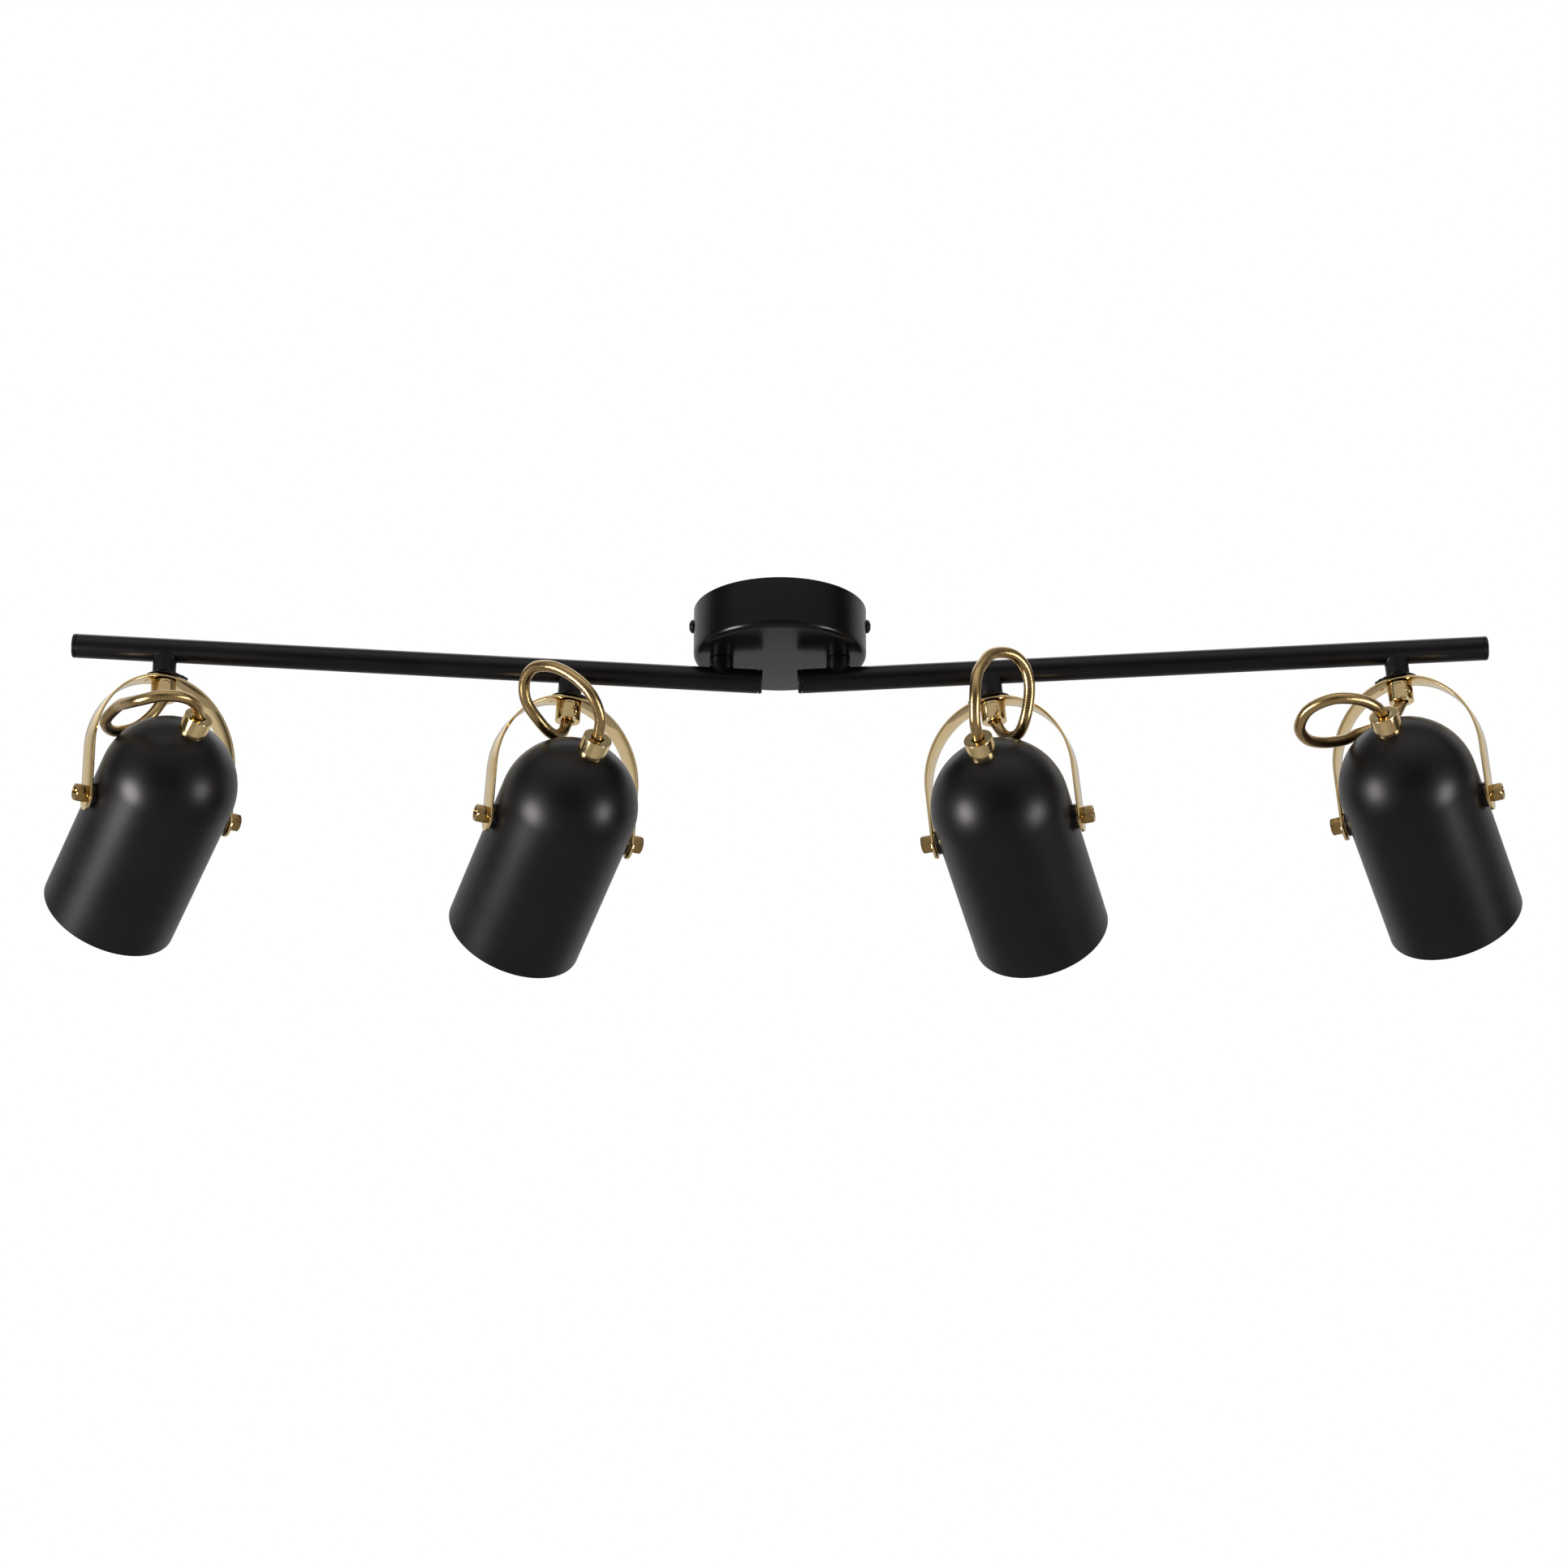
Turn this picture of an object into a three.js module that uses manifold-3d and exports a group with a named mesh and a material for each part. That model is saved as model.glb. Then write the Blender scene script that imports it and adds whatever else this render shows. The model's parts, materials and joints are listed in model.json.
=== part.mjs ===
// Ceiling spotlight bar: a round canopy carries two swinging tubes end to end, and each
// tube carries two brass yokes with tilting shades. Millimetres, +Z up, origin at the centre
// of the canopy where it meets the ceiling. Lamps are numbered 1 to 4 from -X to +X.
import * as THREE from 'three';
import { mergeVertices } from 'three/addons/utils/BufferGeometryUtils.js';
import Module from 'manifold-3d';

const wasm = await Module();
wasm.setup();

const GAP = 0.3; // clearance left between pieces that touch
const CANOPY_SIDES = 36;
const ROUND = 28; // sides of the shades
const SMALL = 16; // sides of the tubes and fittings
const PIN = 10; // sides of screws, bolts and bores
const degrees = THREE.MathUtils.degToRad;

// Canopy
const CANOPY_R = 50;
const CANOPY_H = 30;
const CANOPY_WALL = 1.2;
const CANOPY_CORNER = 4;
const SIDE_SCREW_Z = -9.3;
const SIDE_SCREW_R = 1.8;
const SIDE_SCREW_HEAD_R = 4;
const SIDE_SCREW_HEAD_H = 2.5;
const SIDE_SCREW_SHANK = 7;
const BRACKET_T = 1.5;
const BRACKET_W = 20;
const BRACKET_DROP = 15;
const BRACKET_WIRE_R = 6; // middle hole, for the ceiling wires
const BRACKET_FIXING_R = 2.6; // ceiling screw holes, on either side of it
const BRACKET_FIXING_X = 27;

// Arms
const POST_X = 33.7; // each arm swings about a vertical axis here
const STEM_R = 4;
const STEM_BORE_R = 2.5;
const STEM_TOP_Z = -21;
const COLLAR_R = 6.9;
const TUBE_R = 7;
const TUBE_WALL = 1;
const WIRE_HOLE_R = 3;
const TUBE_Z = -42.6; // tube centre line at the post
const ARM_RISE = { left: 3.25, right: 3 }; // degrees, each arm rises towards its outer end
const ARM_INNER = -23.5; // ends of an arm along its own axis, from the post
const ARM_OUTER = 376.5;
const CAP_T = 2.2;
const CAP_PLUG = 8;
const LAMP_NEAR = 87; // places of the lamps along an arm, from the post
const LAMP_FAR = 322.8;

// Swivel fittings, measured down from the tube's centre line along the swivel axis
const STUB_R = 6.8;
const STUB_BOTTOM = -14.8;
const NECK_R = 4.5;
const NECK_BOTTOM = -24.5;
const WASHER_R = 11;
const WASHER_BOTTOM = -17.4;
const WASHER_EDGE = 0.7; // thickness at the flared edge
const TAB_REACH = 13.6;
const TAB_BOTTOM = -18.6;
const TAB_W = 4.5;

// Yoke and cable grip
const YOKE_TOP = -17.7;
const YOKE_HALF = 43.7; // outer half width
const YOKE_ARCH = 50; // height of the arch above the straight legs
const YOKE_T = 1.5;
const YOKE_W = 15;
const YOKE_END_DROP = 2; // middle of a round end below its pivot
const YOKE_PIP_X = -10.5;
const YOKE_PIP_R = 1.2;
const PIVOT_Z = -97.3;
const GRIP_R = 7.2;
const GRIP_TOP = -20.3; // just under the arch, which curves down across the grip
const GRIP_BOTTOM = -31.2;
const GRIP_FLAT_Y = -6.6;
const CORD_R = 3.3;
const CORD_BORE_R = 3.9; // wider than the cord, which leaves at a slant
const CORD_SIDES = 8;
const CORD_STEPS = 28;

// Head, in its own frame: origin on the pivot axis, opening towards -Z
const SHADE_R = 39.6;
const SHADE_WALL = 1.2;
const DOME_Z = 16.6; // centre of the hemisphere
const RIM_Z = -78.6;
const BUSHING_R = 8.3;
const BUSHING_TOP = 66.5;
const BUSHING_STEM_R = 5;
const BUSHING_STEM_END = 41;
const HOLDER_R = 14;
const HOLDER_TOP = 44;
const HOLDER_FRONT = 20;
const HOLDER_RECESS_R = 10.5;
const HOLDER_RECESS = 6;
const HOLDER_SHOULDER_H = 5;
const HOLDER_SHOULDER_W = 4;
const BOLT_R = 2.7;
const BOLT_END = 34.5; // inner end of the shank
const NUT_ACROSS_FLATS = 9.6;
const NUT_L = 6.4;
const SPACER_R = 7.2;

// How each lamp stands: arm side, place on the arm, then its angles in degrees: swivel, tilt,
// sideways lean, and how far the cable grip's flat is turned from the yoke's front
const LAMPS = [
  { side: -1, along: LAMP_FAR, swivel: 30.5, tilt: 57.2, lean: -3.5, flat: -13.5 },
  { side: -1, along: LAMP_NEAR, swivel: 23.1, tilt: 56.4, lean: 0, flat: -18 },
  { side: 1, along: LAMP_NEAR, swivel: -15.9, tilt: 57.6, lean: 2.4, flat: 12.4 },
  { side: 1, along: LAMP_FAR, swivel: -22.9, tilt: 52.5, lean: 1.5, flat: 9 },
];

// The loop of each cord between its two ends, in the yoke's frame
const CORD_LOOPS = [
  [[-6.5, 0.5, -42], [-14, 3, -49.5], [-26.5, 1, -55.5], [-34.5, -5, -57], [-39.5, -14, -56.5],
    [-39.5, -32.5, -54.5], [-40, -45.5, -57.5], [-37, -60, -60], [-29, -68.5, -59],
    [-16, -70.5, -58], [-6.5, -65.5, -58.5]],
  [[-5, -5.5, -41.5], [-13, -13, -46], [-23.5, -20, -43], [-34, -24, -33.5], [-38, -31.5, -25],
    [-37, -41.5, -21], [-32, -53.5, -23], [-26, -61, -27], [-17, -68.5, -35.5],
    [-10.5, -70, -42.5], [-3, -65, -52]],
  [[7, -6, -43.5], [15.5, -14.5, -47], [22.5, -23.5, -41.5], [28, -29, -25], [27.5, -34.5, -15],
    [23, -43, -10], [14, -55.5, -12.5], [9, -65, -22], [6.5, -69.5, -29], [4.5, -71.5, -40.5],
    [1.5, -66, -54]],
  [[-6, -3.5, -41], [-15.5, -8.5, -46.5], [-24.5, -15, -50.5], [-31, -28.5, -57.5],
    [-40, -42.5, -61.5], [-45, -56, -62.5], [-44.5, -69.5, -60], [-36, -78.5, -55],
    [-20.5, -80.5, -52.5], [-7, -71, -53], [-1.5, -61.5, -55]],
];

const finishes = {
  black: { color: 0x1b1b1d, roughness: 0.5, metalness: 0.2 },
  brass: { color: 0xd9bd7c, roughness: 0.25, metalness: 1 },
  cord: { color: 0xb9924f, roughness: 0.35, metalness: 1 },
  zinc: { color: 0xb9bcc0, roughness: 0.45, metalness: 1 },
  ceramic: { color: 0xece8df, roughness: 0.6, metalness: 0 },
};

// --- Solids -------------------------------------------------------------------------------

function solid(geometry) {
  const bare = geometry.clone();
  bare.deleteAttribute('normal');
  bare.deleteAttribute('uv');
  const welded = mergeVertices(bare);
  const places = Float32Array.from(welded.attributes.position.array);
  const corner = (i) => new THREE.Vector3().fromArray(places, 3 * i);
  const triangles = [];
  let volume = 0;
  for (let i = 0; i < welded.index.count; i += 3) {
    const [a, b, c] = [0, 1, 2].map((k) => welded.index.getX(i + k));
    if (a !== b && b !== c && c !== a) {
      triangles.push([a, b, c]);
      volume += corner(a).dot(corner(b).cross(corner(c)));
    }
  }
  const outward = volume < 0 ? triangles.map(([a, b, c]) => [a, c, b]) : triangles;
  return new wasm.Manifold(new wasm.Mesh({
    numProp: 3, vertProperties: places, triVerts: Uint32Array.from(outward.flat()),
  }));
}

function piece(name, body, finish) {
  const mesh = body.getMesh();
  const geometry = new THREE.BufferGeometry();
  geometry.setAttribute('position', new THREE.BufferAttribute(mesh.vertProperties, 3));
  geometry.setIndex(new THREE.BufferAttribute(mesh.triVerts, 1));
  geometry.computeVertexNormals();
  const part = new THREE.Mesh(geometry, new THREE.MeshStandardMaterial(finishes[finish]));
  part.name = name;
  return part;
}

// A solid of revolution about Z from [radius, z] pairs
function turned(profile, sides = ROUND) {
  const points = profile.map(([r, z]) => new THREE.Vector2(r, z));
  return solid(new THREE.LatheGeometry(points, sides).rotateX(Math.PI / 2));
}

function rodZ(radius, low, high, x = 0, y = 0, sides = SMALL) {
  const rod = new THREE.CylinderGeometry(radius, radius, high - low, sides);
  return solid(rod.rotateX(Math.PI / 2).translate(x, y, (low + high) / 2));
}

function rodX(radius, low, high, z = 0, sides = SMALL) {
  const rod = new THREE.CylinderGeometry(radius, radius, high - low, sides);
  return solid(rod.rotateZ(Math.PI / 2).translate((low + high) / 2, 0, z));
}

function block(low, high) {
  const [width, depth, height] = high.map((value, i) => value - low[i]);
  const middle = high.map((value, i) => (value + low[i]) / 2);
  return solid(new THREE.BoxGeometry(width, depth, height).translate(...middle));
}

// An outline of [x, z] pairs, as thick as width along Y
function plateXZ(outline, width) {
  const shape = new THREE.Shape(outline.map(([x, z]) => new THREE.Vector2(x, z)));
  const plate = new THREE.ExtrudeGeometry(shape, { depth: width, bevelEnabled: false });
  return solid(plate.rotateX(Math.PI / 2).translate(0, width / 2, 0));
}

function arc(centreR, centreZ, radius, from, to, steps) {
  return Array.from({ length: steps + 1 }, (_, i) => {
    const angle = degrees(from + (to - from) * i / steps);
    return [centreR + radius * Math.cos(angle), centreZ + radius * Math.sin(angle)];
  });
}

// --- Canopy -------------------------------------------------------------------------------

function canopyShell() {
  const inner = CANOPY_R - CANOPY_WALL;
  const cornerR = CANOPY_R - CANOPY_CORNER;
  const cornerZ = CANOPY_CORNER - CANOPY_H;
  const shell = turned([
    [0, -CANOPY_H],
    ...arc(cornerR, cornerZ, CANOPY_CORNER, -90, 0, 4),
    [CANOPY_R, 0],
    [inner, 0],
    ...arc(cornerR, cornerZ, CANOPY_CORNER - CANOPY_WALL, 0, -90, 3),
    [0, CANOPY_WALL - CANOPY_H],
  ], CANOPY_SIDES);
  return [-POST_X, POST_X].reduce(
    (body, x) => body.subtract(rodZ(STEM_R + 2 * GAP, -CANOPY_H - 1, 2 - CANOPY_H, x)),
    shell.subtract(rodX(SIDE_SCREW_R + GAP, -CANOPY_R - 1, CANOPY_R + 1, SIDE_SCREW_Z, PIN)),
  );
}

function ceilingBracket() {
  const end = CANOPY_R - CANOPY_WALL - GAP;
  const strap = plateXZ([
    [-end, 0], [end, 0], [end, -BRACKET_DROP], [end - BRACKET_T, -BRACKET_DROP],
    [end - BRACKET_T, -BRACKET_T], [BRACKET_T - end, -BRACKET_T],
    [BRACKET_T - end, -BRACKET_DROP], [-end, -BRACKET_DROP],
  ], BRACKET_W);
  const round = rodZ(end - GAP, -BRACKET_DROP - 1, 1, 0, 0, CANOPY_SIDES);
  const holes = [
    [0, BRACKET_WIRE_R], [-BRACKET_FIXING_X, BRACKET_FIXING_R], [BRACKET_FIXING_X, BRACKET_FIXING_R],
  ];
  return holes.reduce(
    (body, [x, radius]) => body.subtract(rodZ(radius, -BRACKET_T - 1, 1, x)),
    strap.intersect(round).subtract(rodX(SIDE_SCREW_R + GAP, -end - 1, end + 1, SIDE_SCREW_Z, PIN)),
  );
}

function sideScrew(side) {
  const seat = CANOPY_R + GAP;
  const crown = seat + SIDE_SCREW_HEAD_H;
  const tip = seat - SIDE_SCREW_SHANK;
  const screw = turned([
    [0, tip], [SIDE_SCREW_R, tip], [SIDE_SCREW_R, seat], [SIDE_SCREW_HEAD_R, seat],
    [SIDE_SCREW_HEAD_R, seat + 1], [SIDE_SCREW_HEAD_R * 0.8, crown - 0.5],
    [SIDE_SCREW_HEAD_R * 0.4, crown], [0, crown],
  ], PIN);
  return screw.rotate([0, 90 * side, 0]).translate([0, 0, SIDE_SCREW_Z]);
}

// --- Arm ----------------------------------------------------------------------------------

function armTube(side) {
  const low = ARM_INNER + CAP_T + GAP;
  const high = ARM_OUTER - CAP_T - GAP;
  const wireHoles = [
    rodZ(WIRE_HOLE_R, 0, TUBE_R + 1, 0, 0, PIN),
    rodZ(WIRE_HOLE_R, -TUBE_R - 1, 0, LAMP_NEAR, 0, PIN),
    rodZ(WIRE_HOLE_R, -TUBE_R - 1, 0, LAMP_FAR, 0, PIN),
  ];
  const bore = rodX(TUBE_R - TUBE_WALL, low - 1, high + 1);
  const pipe = wireHoles.reduce(
    (body, hole) => body.subtract(hole),
    rodX(TUBE_R, low, high).subtract(bore),
  );
  return side > 0 ? pipe : pipe.mirror([1, 0, 0]);
}

function endCap(side, outer) {
  const face = outer ? ARM_OUTER : ARM_INNER;
  const inward = outer ? -1 : 1;
  const plugR = TUBE_R - TUBE_WALL - GAP;
  const cap = turned([
    [0, 0], [TUBE_R - 0.5, 0], [TUBE_R, 0.5], [TUBE_R, CAP_T], [plugR, CAP_T],
    [plugR, CAP_T + CAP_PLUG], [0, CAP_T + CAP_PLUG],
  ], SMALL);
  const along = cap.rotate([0, 90 * inward, 0]).translate([face, 0, 0]);
  return side > 0 ? along : along.mirror([1, 0, 0]);
}

// The collar stands upright, and its lower end is cut to sit on the rising tube
function armCollar(side, rise) {
  const tube = rodX(TUBE_R + GAP, -20, 20).rotate([0, -rise * side, 0]);
  const top = -CANOPY_H - GAP - TUBE_Z;
  return rodZ(COLLAR_R, 0, top)
    .add(rodZ(STEM_R, top - 1, STEM_TOP_Z - TUBE_Z))
    .subtract(rodZ(STEM_BORE_R, -1, STEM_TOP_Z - TUBE_Z + 1, 0, 0, PIN))
    .subtract(tube);
}

// --- Swivel fittings ----------------------------------------------------------------------

// The saddle stub leans with its lamp, so the tube that shapes its mouth is turned back
function lampStub(lamp) {
  const tube = rodX(TUBE_R + GAP, -20, 20).rotate([0, lamp.lean * lamp.side, 0]);
  return rodZ(STUB_R, STUB_BOTTOM, 0)
    .add(rodZ(NECK_R, NECK_BOTTOM, STUB_BOTTOM + 1))
    .subtract(rodZ(STEM_BORE_R, NECK_BOTTOM - 1, 1, 0, 0, PIN))
    .subtract(tube);
}

// A flared stop washer with one bent tab, which points towards the canopy
function stopWasher(lamp) {
  const top = STUB_BOTTOM - GAP;
  const bore = NECK_R + GAP;
  const flare = turned([
    [bore, WASHER_BOTTOM], [WASHER_R, WASHER_BOTTOM], [WASHER_R, WASHER_BOTTOM + WASHER_EDGE],
    [STUB_R + 0.4, top], [bore, top], [bore, WASHER_BOTTOM],
  ], SMALL);
  const tab = plateXZ([
    [WASHER_R - 2, WASHER_BOTTOM], [TAB_REACH - 1, WASHER_BOTTOM], [TAB_REACH - 0.4, TAB_BOTTOM],
    [TAB_REACH, TAB_BOTTOM + 0.4], [TAB_REACH - 0.5, WASHER_BOTTOM + 1],
    [WASHER_R - 2, WASHER_BOTTOM + 1],
  ], TAB_W);
  return flare.add(lamp.side < 0 ? tab : tab.mirror([1, 0, 0]));
}

// --- Yoke ---------------------------------------------------------------------------------

function yokeCurve(inset) {
  const halfWidth = YOKE_HALF - inset;
  const height = YOKE_ARCH - inset;
  const spring = YOKE_TOP - YOKE_ARCH;
  const steps = 16;
  const arch = Array.from({ length: steps + 1 }, (_, i) => {
    const angle = Math.PI * i / steps;
    return [halfWidth * Math.cos(angle), spring + height * Math.sin(angle)];
  });
  const foot = PIVOT_Z - YOKE_W;
  return [[halfWidth, foot], ...arch, [-halfWidth, foot]];
}

function yoke() {
  const strip = plateXZ([...yokeCurve(0), ...yokeCurve(YOKE_T).reverse()], YOKE_W);
  const half = YOKE_W / 2;
  const rounded = new THREE.Shape(
    [[-half, 0], [half, 0], ...arc(0, PIVOT_Z - YOKE_END_DROP, half, 0, -180, 8)]
      .map(([y, z]) => new THREE.Vector2(y, z)),
  );
  const width = 2 * YOKE_HALF + 4;
  const slab = new THREE.ExtrudeGeometry(rounded, { depth: width, bevelEnabled: false })
    .rotateX(Math.PI / 2).rotateZ(Math.PI / 2).translate(-width / 2, 0, 0);
  return strip.intersect(solid(slab))
    .subtract(rodX(BOLT_R + GAP, -YOKE_HALF - 1, YOKE_HALF + 1, PIVOT_Z, PIN))
    .subtract(rodZ(NECK_R + GAP, YOKE_TOP - 4, YOKE_TOP + 1))
    .subtract(rodZ(YOKE_PIP_R, YOKE_TOP - 6, YOKE_TOP + 1, YOKE_PIP_X, 0, 8));
}

function cableGrip(lamp) {
  const flat = block([-GRIP_R, -GRIP_R - 1, GRIP_BOTTOM - 1], [GRIP_R, GRIP_FLAT_Y, GRIP_TOP + 1]);
  return rodZ(GRIP_R, GRIP_BOTTOM, GRIP_TOP)
    .subtract(flat)
    .subtract(rodZ(NECK_R + GAP, NECK_BOTTOM - GAP, GRIP_TOP + 1))
    .subtract(rodZ(CORD_BORE_R, GRIP_BOTTOM - 1, GRIP_TOP, 0, 0, PIN))
    .rotate([0, 0, lamp.flat]);
}

// A cord runs from the grip's foot through its loop to the bushing on the shade's axis
function cord(lamp, loop) {
  const tilt = degrees(lamp.tilt);
  const reach = BUSHING_TOP + GAP;
  const end = [0, -reach * Math.sin(tilt), PIVOT_Z + reach * Math.cos(tilt)];
  const route = [[0, 0, GRIP_BOTTOM - GAP], ...loop, end]
    .map((point) => new THREE.Vector3(...point));
  const section = new THREE.Shape(
    arc(0, 0, CORD_R, 0, 360 - 360 / CORD_SIDES, CORD_SIDES - 1)
      .map(([x, y]) => new THREE.Vector2(x, y)),
  );
  return solid(new THREE.ExtrudeGeometry(section, {
    steps: CORD_STEPS, extrudePath: new THREE.CatmullRomCurve3(route, false, 'centripetal'),
  }));
}

// --- Head ---------------------------------------------------------------------------------

function shade() {
  const inner = SHADE_R - SHADE_WALL;
  return turned([
    ...arc(0, DOME_Z, inner, 90, 0, 5),
    [inner, RIM_Z],
    [SHADE_R, RIM_Z],
    ...arc(0, DOME_Z, SHADE_R, 0, 90, 7),
  ])
    .subtract(rodX(BOLT_R + GAP, -SHADE_R - 1, SHADE_R + 1, 0, PIN))
    .subtract(rodZ(BUSHING_STEM_R + GAP, DOME_Z, DOME_Z + SHADE_R + 1));
}

function cordBushing() {
  const seat = (r) => [r, DOME_Z + Math.sqrt((SHADE_R + GAP) ** 2 - r ** 2)];
  return turned([
    [CORD_BORE_R, BUSHING_STEM_END], [BUSHING_STEM_R, BUSHING_STEM_END], seat(BUSHING_STEM_R),
    seat(BUSHING_R), [BUSHING_R, BUSHING_TOP - 0.4], [BUSHING_R - 0.4, BUSHING_TOP],
    [CORD_BORE_R, BUSHING_TOP], [CORD_BORE_R, BUSHING_STEM_END],
  ], SMALL);
}

function lampholder() {
  const holder = turned([
    [0, HOLDER_FRONT + HOLDER_RECESS], [HOLDER_RECESS_R, HOLDER_FRONT + HOLDER_RECESS],
    [HOLDER_RECESS_R, HOLDER_FRONT], [HOLDER_R, HOLDER_FRONT],
    [HOLDER_R, HOLDER_TOP - HOLDER_SHOULDER_H], [HOLDER_R - HOLDER_SHOULDER_W, HOLDER_TOP],
    [0, HOLDER_TOP],
  ], SMALL);
  return holder.subtract(rodZ(BUSHING_STEM_R + GAP, BUSHING_STEM_END - GAP, HOLDER_TOP + 1));
}

function pivotBolt(side) {
  const seat = YOKE_HALF + GAP;
  const across = NUT_ACROSS_FLATS / Math.sqrt(3);
  const bolt = rodX(across, seat, seat + NUT_L, 0, 6).add(rodX(BOLT_R, BOLT_END, seat + 1, 0, PIN));
  return side > 0 ? bolt : bolt.mirror([1, 0, 0]);
}

function spacer(side) {
  const bore = BOLT_R + GAP;
  const low = SHADE_R + GAP;
  const high = YOKE_HALF - YOKE_T - GAP;
  const sleeve = turned(
    [[bore, low], [SPACER_R, low], [SPACER_R, high], [bore, high], [bore, low]],
    SMALL,
  );
  return sleeve.rotate([0, 90 * side, 0]);
}

// --- Assembly -----------------------------------------------------------------------------

function lampHead(name, lamp) {
  const head = new THREE.Group();
  head.position.z = PIVOT_Z;
  head.rotation.x = degrees(lamp.tilt);
  head.add(
    piece(`${name}_shade`, shade(), 'black'),
    piece(`${name}_cord_bushing`, cordBushing(), 'brass'),
    piece(`${name}_lampholder`, lampholder(), 'ceramic'),
    piece(`${name}_bolt_left`, pivotBolt(-1), 'brass'),
    piece(`${name}_bolt_right`, pivotBolt(1), 'brass'),
    piece(`${name}_spacer_left`, spacer(-1), 'black'),
    piece(`${name}_spacer_right`, spacer(1), 'black'),
  );
  return head;
}

function lampOnArm(lamp, index) {
  const name = `lamp_${index + 1}`;
  const swivel = new THREE.Group();
  swivel.rotation.z = degrees(lamp.swivel);
  swivel.add(
    piece(`${name}_yoke`, yoke(), 'brass'),
    piece(`${name}_cable_grip`, cableGrip(lamp), 'brass'),
    piece(`${name}_cord`, cord(lamp, CORD_LOOPS[index]), 'cord'),
    lampHead(name, lamp),
  );
  const fitting = new THREE.Group();
  fitting.position.x = lamp.side * lamp.along;
  fitting.rotation.y = degrees(-lamp.side * lamp.lean);
  fitting.add(
    piece(`${name}_stub`, lampStub(lamp), 'black'),
    piece(`${name}_stop_washer`, stopWasher(lamp), 'black'),
    swivel,
  );
  return fitting;
}

function arm(name, side) {
  const rise = ARM_RISE[name];
  const rising = new THREE.Group();
  rising.rotation.y = degrees(-side * rise);
  rising.add(
    piece(`${name}_arm_tube`, armTube(side), 'black'),
    piece(`${name}_arm_cap_inner`, endCap(side, false), 'black'),
    piece(`${name}_arm_cap_outer`, endCap(side, true), 'black'),
  );
  LAMPS.forEach((lamp, index) => {
    if (lamp.side === side) rising.add(lampOnArm(lamp, index));
  });
  const post = new THREE.Group();
  post.position.set(side * POST_X, 0, TUBE_Z);
  post.add(piece(`${name}_arm_collar`, armCollar(side, rise), 'black'), rising);
  return post;
}

const fixture = new THREE.Group();
fixture.add(
  piece('canopy_shell', canopyShell(), 'black'),
  piece('ceiling_bracket', ceilingBracket(), 'zinc'),
  piece('canopy_screw_left', sideScrew(-1), 'black'),
  piece('canopy_screw_right', sideScrew(1), 'black'),
  arm('left', -1),
  arm('right', 1),
);

export default fixture;
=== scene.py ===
"""Ceiling spotlight bar: a round canopy, two swinging tubes and four black shades in brass yokes.

Shapes are drawn in millimetres in the frame of the body that they belong to, and then put in
place in metres.
"""

import json
import math

import bmesh
import bpy
from mathutils import Matrix, Vector


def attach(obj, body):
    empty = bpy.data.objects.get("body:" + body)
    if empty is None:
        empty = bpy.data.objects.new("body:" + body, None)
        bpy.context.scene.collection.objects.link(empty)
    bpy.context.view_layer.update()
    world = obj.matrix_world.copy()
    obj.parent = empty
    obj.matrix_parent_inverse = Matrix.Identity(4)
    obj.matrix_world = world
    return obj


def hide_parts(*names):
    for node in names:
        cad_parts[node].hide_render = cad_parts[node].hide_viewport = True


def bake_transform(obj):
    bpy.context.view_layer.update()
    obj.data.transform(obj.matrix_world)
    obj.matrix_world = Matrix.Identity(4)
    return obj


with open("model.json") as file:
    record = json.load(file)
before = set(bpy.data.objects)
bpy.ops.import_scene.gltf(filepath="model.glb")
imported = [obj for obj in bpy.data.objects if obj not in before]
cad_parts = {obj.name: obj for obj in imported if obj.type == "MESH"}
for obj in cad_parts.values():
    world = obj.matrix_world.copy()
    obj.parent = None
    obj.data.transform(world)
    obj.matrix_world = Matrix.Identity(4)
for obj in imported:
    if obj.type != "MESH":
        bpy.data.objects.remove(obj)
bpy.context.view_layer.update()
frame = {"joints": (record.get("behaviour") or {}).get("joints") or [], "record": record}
JOINTS = {joint["name"]: joint for joint in frame["joints"]}
MOUNTS = {mount["name"]: mount for mount in frame["record"]["mounts"]}
LAMPS = (1, 2, 3, 4)

MM = 0.001
SHARP = math.radians(40)  # an edge that bends by more than this stays sharp
PLAY = 0.2  # between the edge of a hole and what goes through it
SNUG = 0.1  # the same, for what has no play
X, Y, Z = Vector((1, 0, 0)), Vector((0, 1, 0)), Vector((0, 0, 1))

# Canopy
CANOPY_R = 50
CANOPY_H = 30
CANOPY_WALL = 1.2
CANOPY_CORNER = 4
SIDE_SCREW = {"radius": 4, "height": 2.6, "shank_r": 1.8, "shank": 6.5}
SIDE_SCREW_Z = -9.3
SIDE_SCREW_HOLE_R = 1.9
BRACKET_X = 46.6  # middle of the bracket's turned-down ends
BRACKET_W = 20
BRACKET_T = 1.5
BRACKET_DROP = 15
BRACKET_BEND = 2.5
BRACKET_SLOT_X = 27
BRACKET_SLOT_R = 2.6
BRACKET_SLOT_STRETCH = 2.4  # length of a slot in widths
WIRE_HOLE_R = 6
EARTH_SCREW = {"radius": 3.2, "height": 1.8, "shank_r": 1.8, "shank": 1.2}
EARTH_SCREW_X = 14

# Arms
TUBE_R = 7
TUBE_WALL = 1
TUBE_Z = JOINTS["left_arm_swing"]["pos_m"][2] / MM
ARM_INNER = -23.5
ARM_OUTER = 376.5
CAP_T = 2.2
CAP_SEAM = 0.25
CAP_PLUG_DEPTH = 8
COLLAR_R = 6.9
COLLAR_BEAD = 0.35  # how far the weld stands out round the foot
COLLAR_SEAM = 0.15
STEM_R = 4
STEM_BORE_R = 2.5
STEM_TOP_Z = -21
LOCK_NUT_ACROSS = 13
LOCK_NUT_Z = (-28.5, -24.5)

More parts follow.
